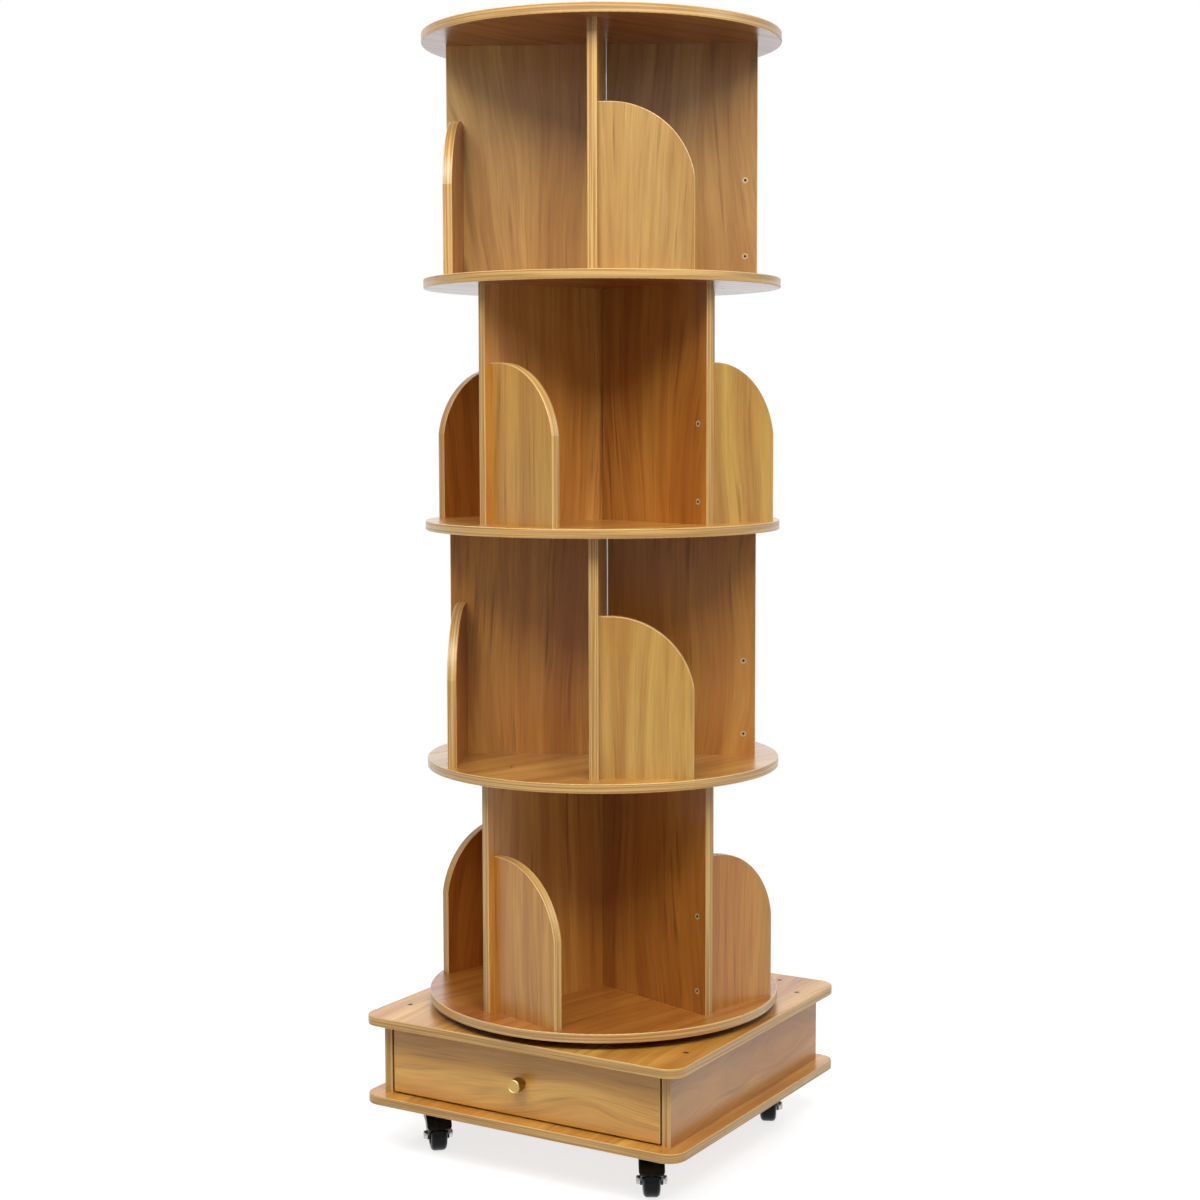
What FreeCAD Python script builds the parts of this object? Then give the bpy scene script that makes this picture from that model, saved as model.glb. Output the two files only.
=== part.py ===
"""Revolving bookcase: a four-tier tower on a turntable, over a drawer base on swivel casters.

Millimetres, +Z up. The origin lies on the floor under the tower's axis, the drawer faces -Y.
Angles are in degrees, counter-clockwise seen from above, and 0 is +X.
"""
import FreeCAD, Part
import os
from math import cos, radians, sin

os.makedirs("parts", exist_ok=True)
V = FreeCAD.Vector
UP = V(0, 0, 1)
DOWN = V(0, 0, -1)

# ---------------------------------------------------------------- tower
TIERS = 4
PARTITIONS = "abcd"         # a and c are the two halves of one wide board
SHELF_RADIUS = 230.0
SHELF_THICKNESS = 12.0
TIER_HEIGHT = 297.0
TOWER_ANGLE = -62.4         # where the tower stands at rest: partition a of the top tier
TWIST_ANGLE = -45.0         # every second tier is turned by this from the top tier
PARTITION_THICKNESS = 12.0
PARTITION_SETBACK = 30.5    # from the shelf's rim to the partition's outer edge
CORE_GAP = 1.0              # between a half partition's inner edge and the wide partition
STOP_THICKNESS = 12.0
STOP_SETBACK = 9.5          # from the partition's outer edge to the stop's outer face
STOP_WIDTH = 116.5
STOP_HEIGHT = 200.0
STOP_EDGE_HEIGHT = 111.0    # straight part of the stop's free edge, under the arch
STOP_FLAT = 13.5            # level top of the stop, beside the partition
ARRIS = 1.2                 # rounding of the banded board edges

# ---------------------------------------------------------------- base
BASE_Y = 4.5                # the base's middle lies this far behind the tower's axis
BOX_WIDTH = 426.0
BOX_DEPTH = 410.0
BOX_HEIGHT = 92.0
BOX_PANEL = 12.0
OVERHANG_SIDE = 21.0        # of the two base boards over the box
OVERHANG_END = 22.5
BASE_BOARD = 12.0
BASE_CORNER = 24.0

# ---------------------------------------------------------------- drawer
FRONT_THICKNESS = 12.0
FRONT_GAP_SIDE = 2.8
FRONT_GAP_Z = 2.0
DRAWER_SIDE = 12.0
DRAWER_BACK = 12.0
DRAWER_REAR_GAP = 26.0      # between the drawer and the back panel
DRAWER_TOP_GAP = 14.0       # between the drawer sides and the top board
DRAWER_LIFT = 10.0          # drawer sides over the bottom board
DRAWER_PLAY = 5.0           # between a drawer side and the box
DRAWER_BACK_DROP = 6.0      # the drawer's back is lower than its sides
BOTTOM_THICKNESS = 4.0
BOTTOM_HEIGHT = 8.0         # drawer bottom over the lower edge of the drawer sides
BOTTOM_GROOVE = 5.0
RUNNER_HEIGHT = 11.0
RUNNER_ENGAGE = 5.0         # how far a runner reaches into the drawer side's groove
RUNNER_FRONT = 8.0          # runner's start behind the drawer front
RUNNER_REAR = 8.0           # runner's end before the back panel
SLIDE_CLEARANCE = 0.3
GROOVE_CLEARANCE = 0.15
KNOB_RADIUS = 9.0
KNOB_NECK_RADIUS = 6.0
KNOB_NECK_LENGTH = 5.0
KNOB_LENGTH = 20.0
KNOB_DISH_RADIUS = 7.2
KNOB_DISH_DEPTH = 0.8
KNOB_ARRIS = 0.8
KNOB_SCREW_RADIUS = 2.0
KNOB_SCREW_DEPTH = 11.0     # thread inside the knob
KNOB_SCREW_HEAD_RADIUS = 4.0
KNOB_SCREW_HEAD = 2.4

# ---------------------------------------------------------------- turntable
PLATE_SIDE = 220.0
PLATE_CORNER = 14.0
PLATE_THICKNESS = 2.0
BALL_RADIUS = 3.0
BALL_CLEARANCE = 0.05
RACE_RADIUS = 75.0
RACE_DEPTH = 0.3
BALLS = 24
PIVOT_RADIUS = 12.0
PIVOT_CLEARANCE = 0.05
PLATE_SCREW_INSET = 15.0

# ---------------------------------------------------------------- casters
CASTER_INSET_SIDE = 72.0    # swivel axes from the edges of the bottom board
CASTER_INSET_END = 65.5
CASTER_NAMES = {"front_left": (-1, -1), "front_right": (1, -1), "rear_left": (-1, 1), "rear_right": (1, 1)}
CASTER_SWIVEL_ANGLES = {"front_left": -48.0, "front_right": -59.0, "rear_left": -70.0, "rear_right": -64.0}
CASTER_PLATE_SIDE = 38.0
CASTER_PLATE_CORNER = 4.0
CASTER_PLATE_THICKNESS = 2.5
CASTER_SCREW_INSET = 6.0
WHEEL_RADIUS = 21.0
WHEEL_WIDTH = 22.0
WHEEL_TAPER = 1.6           # how much narrower the tread is on each side
WHEEL_ROUNDING = 5.5
WHEEL_DISH_INNER = 7.0
WHEEL_DISH_OUTER = 13.0
WHEEL_DISH_DEPTH = 1.6
HUB_RISE = 0.4              # of the wheel's hub over its sides
HUB_GAP = 0.3               # between the wheel's hub and a fork leg
TRAIL = 16.0                # axle's offset from the swivel axis
FORK_LEG = 2.5
FORK_SHOULDER = 1.8         # how much wider the fork is over the wheel
FORK_SHOULDER_LOW = 33.5
FORK_SHOULDER_HIGH = 37.5
FORK_END_RADIUS = 6.5
FORK_BACK = 13.0
HOOD_END_ANGLE = 30.0       # front end of the hood over the wheel, above the axle's level
CROWN_CLEARANCE = 2.4       # between the wheel's tread and the hood
CROWN_THICKNESS = 2.6
HOUSING_RADIUS = 14.0
HOUSING_HEIGHT = 15.2
SWIVEL_CLEARANCE = 0.3
KINGPIN_RADIUS = 4.0
KINGPIN_HEAD_RADIUS = 7.0
KINGPIN_HEAD = 2.0
AXLE_RADIUS = 3.0
AXLE_CLEARANCE = 0.05
CAP_RADIUS = 5.6            # round caps on the ends of the axle
CAP_HEIGHT = 5.2
CAP_ROUNDING = 2.4

# ---------------------------------------------------------------- fasteners
SCREW_HEAD_RADIUS = 3.9
SCREW_HEAD_RIM = 1.0
SCREW_CONE = 1.8
SCREW_RADIUS = 2.3
SCREW_TIP = 2.5
SCREW_SOCKET_RADIUS = 1.75
SCREW_SOCKET_DEPTH = 2.0
SCREW_HOLE_CLEARANCE = 0.05
SHELF_SCREW_LENGTH = 40.0
SHELF_SCREW_INSET = 43.5    # from the partition's outer edge
STOP_SCREW_LENGTH = 40.0
STOP_SCREW_LOW = 28.5
STOP_SCREW_PITCH = 96.0
BASE_SCREW_LENGTH = 38.0
BASE_SCREW_INSET_Y = 49.5   # from the ends of a side panel
BASE_SCREW_INSET_X = 41.0   # from the ends of the back panel
DOWEL_RADIUS = 3.0
DOWEL_LENGTH = 28.0
DOWEL_COVER = 4.0           # of the shelf over the dowel's end
DOWEL_INSET = 50.0          # from the partition's inner edge
DOWEL_CHAMFER = 0.8
DOWEL_CLEARANCE = 0.1
PAN_HEAD_RADIUS = 3.4
PAN_HEAD_HEIGHT = 1.7
PAN_SCREW_RADIUS = 1.8
PAN_SCREW_LENGTH = 10.0

# ---------------------------------------------------------------- worked out
PARTITION_INNER = PARTITION_THICKNESS / 2 + CORE_GAP
PARTITION_OUTER = SHELF_RADIUS - PARTITION_SETBACK
SHELF_SCREW_AT = PARTITION_OUTER - SHELF_SCREW_INSET
DOWEL_AT = PARTITION_INNER + DOWEL_INSET
STOP_OUTER = PARTITION_OUTER - STOP_SETBACK
STOP_MIDDLE = STOP_OUTER - STOP_THICKNESS / 2

AXLE_Z = WHEEL_RADIUS
CROWN_LOW = 2 * WHEEL_RADIUS + CROWN_CLEARANCE
CROWN_HIGH = CROWN_LOW + CROWN_THICKNESS
HOUSING_TOP = CROWN_HIGH + HOUSING_HEIGHT
CASTER_PLATE_LOW = HOUSING_TOP + SWIVEL_CLEARANCE
CASTER_TOP = CASTER_PLATE_LOW + CASTER_PLATE_THICKNESS

BASE_WIDTH = BOX_WIDTH + 2 * OVERHANG_SIDE
BASE_DEPTH = BOX_DEPTH + 2 * OVERHANG_END
CASTER_X = BASE_WIDTH / 2 - CASTER_INSET_SIDE
CASTER_Y = BASE_DEPTH / 2 - CASTER_INSET_END
BOTTOM_BOARD_Z = CASTER_TOP
BOX_Z = BOTTOM_BOARD_Z + BASE_BOARD
TOP_BOARD_Z = BOX_Z + BOX_HEIGHT
TURNTABLE_Z = TOP_BOARD_Z + BASE_BOARD
PLATE_GAP = 2 * (BALL_RADIUS + BALL_CLEARANCE - RACE_DEPTH)
UPPER_PLATE_Z = TURNTABLE_Z + PLATE_THICKNESS + PLATE_GAP
TOWER_Z = UPPER_PLATE_Z + PLATE_THICKNESS
TIER_PITCH = TIER_HEIGHT + SHELF_THICKNESS


def shelf_z(level):
    """Lower face of shelf disc 1 (the lowest) to TIERS + 1 (the top)."""
    return TOWER_Z + (level - 1) * TIER_PITCH


def tier_turn(tier):
    """Direction of partition a in tier 1 (the lowest) to TIERS (the top)."""
    return TOWER_ANGLE + (TIERS - tier) % 2 * TWIST_ANGLE


# ---------------------------------------------------------------- shapes
def box(x, y, z):
    """Box between the given pairs of bounds."""
    return Part.makeBox(x[1] - x[0], y[1] - y[0], z[1] - z[0], V(x[0], y[0], z[0]))


def post(radius, z0, z1, x=0.0, y=0.0):
    """Upright cylinder."""
    return Part.makeCylinder(radius, z1 - z0, V(x, y, z0))


def turned(shape, angle):
    """Copy turned about the tower's axis."""
    copy = shape.copy()
    copy.rotate(V(0, 0, 0), UP, angle)
    return copy


def moved(shape, x, y, z=0.0):
    """Copy moved by x, y, z."""
    copy = shape.copy()
    copy.translate(V(x, y, z))
    return copy


def lathe(profile):
    """Solid of revolution about Z from (radius, height) corners."""
    corners = [V(r, 0, z) for r, z in profile]
    face = Part.Face(Part.makePolygon(corners + corners[:1]))
    return face.revolve(V(0, 0, 0), UP, 360)


def prism(points, height):
    """Upright prism from (x, y, z) corners of its lower face."""
    corners = [V(*point) for point in points]
    return Part.Face(Part.makePolygon(corners + corners[:1])).extrude(height)


def hexagon(radius, z):
    """Corners of a level hexagon."""
    return [(radius * cos(radians(60 * i)), radius * sin(radians(60 * i)), z) for i in range(6)]


def aimed(shape, place, direction):
    """Copy of a shape made at the origin, moved to place with its +Z along direction."""
    copy = shape.copy()
    copy.Placement = FreeCAD.Placement(place, FreeCAD.Rotation(UP, direction))
    return copy


def rounded(shape, radius, wanted):
    """Fillet the edges whose middle the function wanted picks."""
    edges = [edge for edge in shape.Edges if wanted(edge.CenterOfMass)]
    return shape.makeFillet(radius, edges)


def rounded_plate(width, depth, corner, z0, thickness):
    """Level plate about the Z axis, with rounded corners."""
    plate = box((-width / 2, width / 2), (-depth / 2, depth / 2), (z0, z0 + thickness))
    middle = z0 + thickness / 2
    return rounded(plate, corner, lambda c: abs(c.z - middle) < thickness / 4)


def save(name, *shapes):
    """Write one node: a solid, or separate solids as a group."""
    shape = shapes[0] if len(shapes) == 1 else Part.makeCompound(list(shapes))
    shape.exportStep("parts/" + name + ".step")


# ---------------------------------------------------------------- fasteners
def flat_screw(length, play=0.0, socket=True):
    """Countersunk screw, head at z = 0 facing +Z. With play it is its hole's cutter."""
    head = SCREW_HEAD_RADIUS + play
    shank = SCREW_RADIUS + play
    end = -length - 2 * play
    shape = lathe([(0, 0), (head, 0), (head, -SCREW_HEAD_RIM), (shank, -SCREW_HEAD_RIM - SCREW_CONE),
                   (shank, end + SCREW_TIP), (shank / 2, end), (0, end)])
    if socket:
        key = prism(hexagon(SCREW_SOCKET_RADIUS, -SCREW_SOCKET_DEPTH), V(0, 0, SCREW_SOCKET_DEPTH))
        shape = shape.cut(key)
    return shape


def pan_screw(play=0.0):
    """Pan-head screw, with the head's seat at z = 0 and the shank along -Z."""
    shank = PAN_SCREW_RADIUS + play
    end = -PAN_SCREW_LENGTH - 2 * play
    crown = PAN_HEAD_RADIUS * 0.6
    return lathe([(0, PAN_HEAD_HEIGHT), (crown, PAN_HEAD_HEIGHT), (PAN_HEAD_RADIUS, PAN_HEAD_HEIGHT / 2),
                  (PAN_HEAD_RADIUS, 0), (shank, 0), (shank, end + shank), (0, end)])


def dowel(play=0.0):
    """Wooden dowel with chamfered ends, centred on the origin. With play it is its hole's cutter."""
    radius = DOWEL_RADIUS + play
    half = DOWEL_LENGTH / 2 + play
    tip = radius - DOWEL_CHAMFER
    return lathe([(0, -half), (tip, -half), (radius, -half + DOWEL_CHAMFER),
                  (radius, half - DOWEL_CHAMFER), (tip, half), (0, half)])


# ---------------------------------------------------------------- tower
def polar(radius, angle, z):
    """Point at a radius and direction from the tower's axis."""
    return V(radius * cos(radians(angle)), radius * sin(radians(angle)), z)


def partition_angle(tier, index):
    """Direction of a partition."""
    return tier_turn(tier) + index * 360.0 / len(PARTITIONS)


def tier_joints(tier):
    """Screws (place, direction of the head) and dowel middles that tie a tier to its two shelves."""
    screws = []
    dowels = []
    low = shelf_z(tier)
    high = shelf_z(tier + 1) + SHELF_THICKNESS
    inset = DOWEL_COVER + DOWEL_LENGTH / 2
    for index in range(len(PARTITIONS)):
        angle = partition_angle(tier, index)
        screws.append((polar(SHELF_SCREW_AT, angle, low), DOWN))
        screws.append((polar(SHELF_SCREW_AT, angle, high), UP))
        dowels.append(polar(DOWEL_AT, angle, low + inset))
        dowels.append(polar(DOWEL_AT, angle, high - inset))
    return screws, dowels


def tower_joints():
    """All screws and dowel middles between the shelves and the partitions."""
    screws = []
    dowels = []
    for tier in range(1, TIERS + 1):
        tier_screws, tier_dowels = tier_joints(tier)
        screws += tier_screws
        dowels += tier_dowels
    return screws, dowels


def stop_screw_places(tier):
    """Screws that hold a tier's stops, driven through the partitions."""
    places = []
    floor = shelf_z(tier) + SHELF_THICKNESS
    for index in range(len(PARTITIONS)):
        angle = partition_angle(tier, index)
        head = turned_vector(V(0, -1, 0), angle)
        for height in (STOP_SCREW_LOW, STOP_SCREW_LOW + STOP_SCREW_PITCH):
            place = turned_vector(V(STOP_MIDDLE, -PARTITION_THICKNESS / 2, floor + height), angle)
            places.append((place, head))
    return places


def turned_vector(vector, angle):
    """Vector turned about Z."""
    return FreeCAD.Rotation(UP, angle).multVec(vector)


def shelf_disc(level, cutters):
    """Round shelf with a rounded rim and the holes of its screws and dowels."""
    z = shelf_z(level)
    disc = rounded(post(SHELF_RADIUS, z, z + SHELF_THICKNESS), ARRIS, lambda c: True)
    return disc.cut(cutters)


def partition(tier, index, start, cutters):
    """Upright board between two shelves, from start to the outer edge, with rounded upright edges."""
    floor = shelf_z(tier) + SHELF_THICKNESS
    half = PARTITION_THICKNESS / 2
    middle = floor + TIER_HEIGHT / 2
    board = box((start, PARTITION_OUTER), (-half, half), (floor, floor + TIER_HEIGHT))
    board = rounded(board, ARRIS, lambda c: abs(c.z - middle) < TIER_HEIGHT / 4)
    return turned(board, partition_angle(tier, index)).cut(cutters)


def stop_outline():
    """Outline of a stop: a level top beside the partition, then an arch down to the free edge."""
    y0 = PARTITION_THICKNESS / 2
    y1 = y0 + STOP_WIDTH
    reach = STOP_WIDTH - STOP_FLAT
    drop = STOP_HEIGHT - STOP_EDGE_HEIGHT
    radius = (reach ** 2 + drop ** 2) / (2 * drop)
    centre = V(STOP_OUTER, y0 + STOP_FLAT, STOP_HEIGHT - radius)
    top = V(STOP_OUTER, y0 + STOP_FLAT, STOP_HEIGHT)
    kink = V(STOP_OUTER, y1, STOP_EDGE_HEIGHT)
    halfway = (top + kink) / 2 - centre
    crest = centre + halfway * (radius / halfway.Length)
    foot = V(STOP_OUTER, y0, 0)
    toe = V(STOP_OUTER, y1, 0)
    head = V(STOP_OUTER, y0, STOP_HEIGHT)
    return Part.Wire([Part.makeLine(foot, toe), Part.makeLine(toe, kink),
                      Part.Arc(kink, crest, top).toShape(), Part.makeLine(top, head),
                      Part.makeLine(head, foot)])


def stop(tier, index, cutters):
    """Arched stop that closes part of a compartment's mouth."""
    floor = shelf_z(tier) + SHELF_THICKNESS
    panel = Part.Face(stop_outline()).extrude(V(-STOP_THICKNESS, 0, 0))
    beside = PARTITION_THICKNESS / 2 + ARRIS

    def banded(c):
        return c.z > ARRIS and c.y > beside and abs(c.x - STOP_MIDDLE) > STOP_THICKNESS / 4

    panel = rounded(panel, ARRIS, banded)
    return turned(moved(panel, 0, 0, floor), partition_angle(tier, index)).cut(cutters)


def make_tower():
    """Shelves, partitions, stops and what ties them together."""
    screws, dowels = tower_joints()
    screw = flat_screw(SHELF_SCREW_LENGTH)
    screw_hole = flat_screw(SHELF_SCREW_LENGTH, SCREW_HOLE_CLEARANCE, socket=False)
    dowel_hole = dowel(DOWEL_CLEARANCE)
    screw_cuts = [aimed(screw_hole, place, head) for place, head in screws]
    dowel_cuts = [moved(dowel_hole, p.x, p.y, p.z) for p in dowels]
    cuts = screw_cuts + dowel_cuts
    plate_cuts = upper_pan_screws(SCREW_HOLE_CLEARANCE)

    def touching(shape):
        return [cut for cut in cuts + plate_cuts if cut.BoundBox.intersect(shape.BoundBox)]

    for level in range(1, TIERS + 2):
        z = shelf_z(level)
        name = "top_disc" if level > TIERS else "shelf_disc_%d" % level
        save(name, shelf_disc(level, touching(post(SHELF_RADIUS, z, z + SHELF_THICKNESS))))

    stop_screw = flat_screw(STOP_SCREW_LENGTH)
    stop_hole = flat_screw(STOP_SCREW_LENGTH, SCREW_HOLE_CLEARANCE, socket=False)
    stop_screws = []
    for tier in range(1, TIERS + 1):
        places = stop_screw_places(tier)
        stop_screws += [aimed(stop_screw, place, head) for place, head in places]
        holes = [aimed(stop_hole, place, head) for place, head in places]
        own = [holes[2 * index:2 * index + 2] for index in range(len(PARTITIONS))]
        ties = [[cuts[i] for i in tie_indices(tier, index, len(screws))] for index in range(len(PARTITIONS))]
        wide_cuts = own[0] + own[2] + ties[0] + ties[2]
        save("tier_%d_wide_partition_ac" % tier, partition(tier, 0, -PARTITION_OUTER, wide_cuts))
        for index in (1, 3):
            board = partition(tier, index, PARTITION_INNER, own[index] + ties[index])
            save("tier_%d_half_partition_%s" % (tier, PARTITIONS[index]), board)
        save("tier_%d_stops" % tier, *[stop(tier, i, own[i]) for i in range(len(PARTITIONS))])

    save("shelf_screws", *[aimed(screw, place, head) for place, head in screws])
    save("shelf_dowels", *[moved(dowel(), p.x, p.y, p.z) for p in dowels])
    save("stop_screws", *stop_screws)


def tie_indices(tier, index, screw_count):
    """Positions, among all screw holes and then all dowel holes, of those of one partition."""
    first = 2 * (len(PARTITIONS) * (tier - 1) + index)
    return [first, first + 1, screw_count + first, screw_count + first + 1]


# ---------------------------------------------------------------- base
BOX_FRONT_Y = BASE_Y - BOX_DEPTH / 2
BOX_BACK_Y = BASE_Y + BOX_DEPTH / 2


def base_screw_places():
    """Screws through the two base boards into the side panels and the back panel."""
    side_x = (BOX_WIDTH - BOX_PANEL) / 2
    side_y = BOX_DEPTH / 2 - BASE_SCREW_INSET_Y
    back_x = BOX_WIDTH / 2 - BOX_PANEL - BASE_SCREW_INSET_X
    back_y = BASE_Y + (BOX_DEPTH - BOX_PANEL) / 2
    spots = [(x, BASE_Y + y) for x in (-side_x, side_x) for y in (-side_y, side_y)]
    spots += [(-back_x, back_y), (back_x, back_y)]
    places = [(V(x, y, TURNTABLE_Z), UP) for x, y in spots]
    places += [(V(x, y, BOTTOM_BOARD_Z), DOWN) for x, y in spots]
    return places


def base_board(z, cutters):
    """Board with rounded corners and rounded arrises."""
    board = rounded_plate(BASE_WIDTH, BASE_DEPTH, BASE_CORNER, z, BASE_BOARD)
    middle = z + BASE_BOARD / 2
    board = rounded(board, ARRIS, lambda c: abs(c.z - middle) > BASE_BOARD / 4)
    return moved(board, 0, BASE_Y).cut(cutters)


def side_panel(side, cutters):
    """Side of the drawer housing, with its upright edges rounded."""
    outer = side * BOX_WIDTH / 2
    inner = outer - side * BOX_PANEL
    middle = BOX_Z + BOX_HEIGHT / 2
    panel = box(sorted((inner, outer)), (BOX_FRONT_Y, BOX_BACK_Y), (BOX_Z, TOP_BOARD_Z))
    panel = rounded(panel, ARRIS, lambda c: abs(c.z - middle) < BOX_HEIGHT / 4)
    return panel.cut(cutters)


def back_panel(cutters):
    """Back of the drawer housing, between the sides."""
    half = BOX_WIDTH / 2 - BOX_PANEL
    panel = box((-half, half), (BOX_BACK_Y - BOX_PANEL, BOX_BACK_Y), (BOX_Z, TOP_BOARD_Z))
    return panel.cut(cutters)


def make_base():
    """Boards, housing panels and their screws."""
    places = base_screw_places()
    screw = flat_screw(BASE_SCREW_LENGTH)
    hole = flat_screw(BASE_SCREW_LENGTH, SCREW_HOLE_CLEARANCE, socket=False)
    cuts = [aimed(hole, place, head) for place, head in places]
    pan_cuts = root_pan_screws(SCREW_HOLE_CLEARANCE)
    save("base_top_board", base_board(TOP_BOARD_Z, cuts + pan_cuts))
    save("base_bottom_board", base_board(BOTTOM_BOARD_Z, cuts + pan_cuts))
    save("base_left_side", side_panel(-1, cuts))
    save("base_right_side", side_panel(1, cuts))
    save("base_back_panel", back_panel(cuts))
    save("base_screws", *[aimed(screw, place, head) for place, head in places])
    save("mounting_screws", *root_pan_screws(0.0))


# ---------------------------------------------------------------- turntable
def plate_screw_spots():
    """Corners of a turntable plate where its screws are."""
    reach = PLATE_SIDE / 2 - PLATE_SCREW_INSET
    return [(x, y) for x in (-reach, reach) for y in (-reach, reach)]


def caster_spot(sx, sy):
    """Where a caster's swivel axis is, given its side and its end as signs."""
    return sx * CASTER_X, BASE_Y + sy * CASTER_Y


def root_pan_screws(play):
    """Pan-head screws of the lower turntable plate and of the caster plates."""
    top = TURNTABLE_Z + PLATE_THICKNESS
    screws = [aimed(pan_screw(play), V(x, y, top), UP) for x, y in plate_screw_spots()]
    inset = CASTER_PLATE_SIDE / 2 - CASTER_SCREW_INSET
    for sx, sy in CASTER_NAMES.values():
        for dx in (-inset, inset):
            for dy in (-inset, inset):
                x, y = caster_spot(sx, sy)
                seat = V(x + dx, y + dy, CASTER_PLATE_LOW)
                screws.append(aimed(pan_screw(play), seat, DOWN))
    return screws


def upper_pan_screws(play):
    """Pan-head screws of the upper turntable plate, driven up into the lowest shelf."""
    seats = [V(x, y, UPPER_PLATE_Z) for x, y in plate_screw_spots()]
    return [turned(aimed(pan_screw(play), seat, DOWN), tier_turn(1)) for seat in seats]


def race():
    """Ball race cut into both turntable plates."""
    middle = TURNTABLE_Z + PLATE_THICKNESS + PLATE_GAP / 2
    return Part.makeTorus(RACE_RADIUS, BALL_RADIUS + BALL_CLEARANCE, V(0, 0, middle), UP)


def make_turntable():
    """Two pressed plates with a ball race between them, and a pivot riveted into the lower one."""
    lower = rounded_plate(PLATE_SIDE, PLATE_SIDE, PLATE_CORNER, TURNTABLE_Z, PLATE_THICKNESS)
    pivot = post(PIVOT_RADIUS, TURNTABLE_Z, TOWER_Z - SWIVEL_CLEARANCE)
    holes = root_pan_screws(SCREW_HOLE_CLEARANCE)
    save("turntable_lower_plate", lower.cut(race()).fuse(pivot).cut(holes))

    upper = rounded_plate(PLATE_SIDE, PLATE_SIDE, PLATE_CORNER, UPPER_PLATE_Z, PLATE_THICKNESS)
    bore = post(PIVOT_RADIUS + PIVOT_CLEARANCE, UPPER_PLATE_Z, TOWER_Z)
    cuts = [race(), bore] + upper_pan_screws(SCREW_HOLE_CLEARANCE)
    save("turntable_upper_plate", turned(upper, tier_turn(1)).cut(cuts))
    save("turntable_upper_screws", *upper_pan_screws(0.0))

    middle = TURNTABLE_Z + PLATE_THICKNESS + PLATE_GAP / 2
    spots = [polar(RACE_RADIUS, i * 360.0 / BALLS, middle) for i in range(BALLS)]
    save("turntable_balls", *[Part.makeSphere(BALL_RADIUS, spot) for spot in spots])


# ---------------------------------------------------------------- drawer
FRONT_BACK_Y = BOX_FRONT_Y + FRONT_THICKNESS
DRAWER_BACK_Y = BOX_BACK_Y - BOX_PANEL - DRAWER_REAR_GAP
DRAWER_Z = BOX_Z + DRAWER_LIFT
DRAWER_HEIGHT = BOX_HEIGHT - DRAWER_LIFT - DRAWER_TOP_GAP
DRAWER_OUTER = BOX_WIDTH / 2 - BOX_PANEL - DRAWER_PLAY
DRAWER_INNER = DRAWER_OUTER - DRAWER_SIDE
FRONT_HALF = BOX_WIDTH / 2 - BOX_PANEL - FRONT_GAP_SIDE
BOTTOM_Z = DRAWER_Z + BOTTOM_HEIGHT
RUNNER_Z = DRAWER_Z + (DRAWER_HEIGHT - RUNNER_HEIGHT) / 2
RUNNER_LENGTH = BOX_BACK_Y - BOX_PANEL - RUNNER_REAR - FRONT_BACK_Y - RUNNER_FRONT
KNOB_Z = BOX_Z + BOX_HEIGHT / 2


def drawer_bottom(play=0.0):
    """Bottom panel, held in grooves all round. With play it is the grooves' cutter."""
    half = DRAWER_INNER + BOTTOM_GROOVE + play
    y0 = FRONT_BACK_Y - BOTTOM_GROOVE - play
    y1 = DRAWER_BACK_Y - DRAWER_BACK + BOTTOM_GROOVE + play
    return box((-half, half), (y0, y1), (BOTTOM_Z - play, BOTTOM_Z + BOTTOM_THICKNESS + play))


def runner(side, play=0.0):
    """Runner strip on the housing's side. With play it is the cutter of the drawer side's groove."""
    wall = side * (BOX_WIDTH / 2 - BOX_PANEL)
    tip = side * (DRAWER_OUTER - RUNNER_ENGAGE - play)
    y0 = FRONT_BACK_Y + RUNNER_FRONT
    z = (RUNNER_Z - play, RUNNER_Z + RUNNER_HEIGHT + play)
    return box(sorted((wall, tip)), (y0, y0 + RUNNER_LENGTH), z)


def drawer_side(side):
    """Drawer side with the runner's groove and the bottom's groove."""
    x = sorted((side * DRAWER_INNER, side * DRAWER_OUTER))
    panel = box(x, (FRONT_BACK_Y, DRAWER_BACK_Y), (DRAWER_Z, DRAWER_Z + DRAWER_HEIGHT))
    groove = runner(side, SLIDE_CLEARANCE)
    run = groove.fuse(moved(groove, 0, -RUNNER_FRONT))
    return panel.cut([run, drawer_bottom(GROOVE_CLEARANCE)])


def drawer_front():
    """Inset drawer front with rounded arrises, the bottom's groove and the knob's hole."""
    z = (BOX_Z + FRONT_GAP_Z, TOP_BOARD_Z - FRONT_GAP_Z)
    panel = box((-FRONT_HALF, FRONT_HALF), (BOX_FRONT_Y, FRONT_BACK_Y), z)
    panel = panel.makeFillet(ARRIS, panel.Edges)
    bore = aimed(post(KNOB_SCREW_RADIUS + SCREW_HOLE_CLEARANCE, 0, FRONT_THICKNESS),
                 V(0, FRONT_BACK_Y, KNOB_Z), V(0, -1, 0))
    return panel.cut([drawer_bottom(GROOVE_CLEARANCE), bore])


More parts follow.
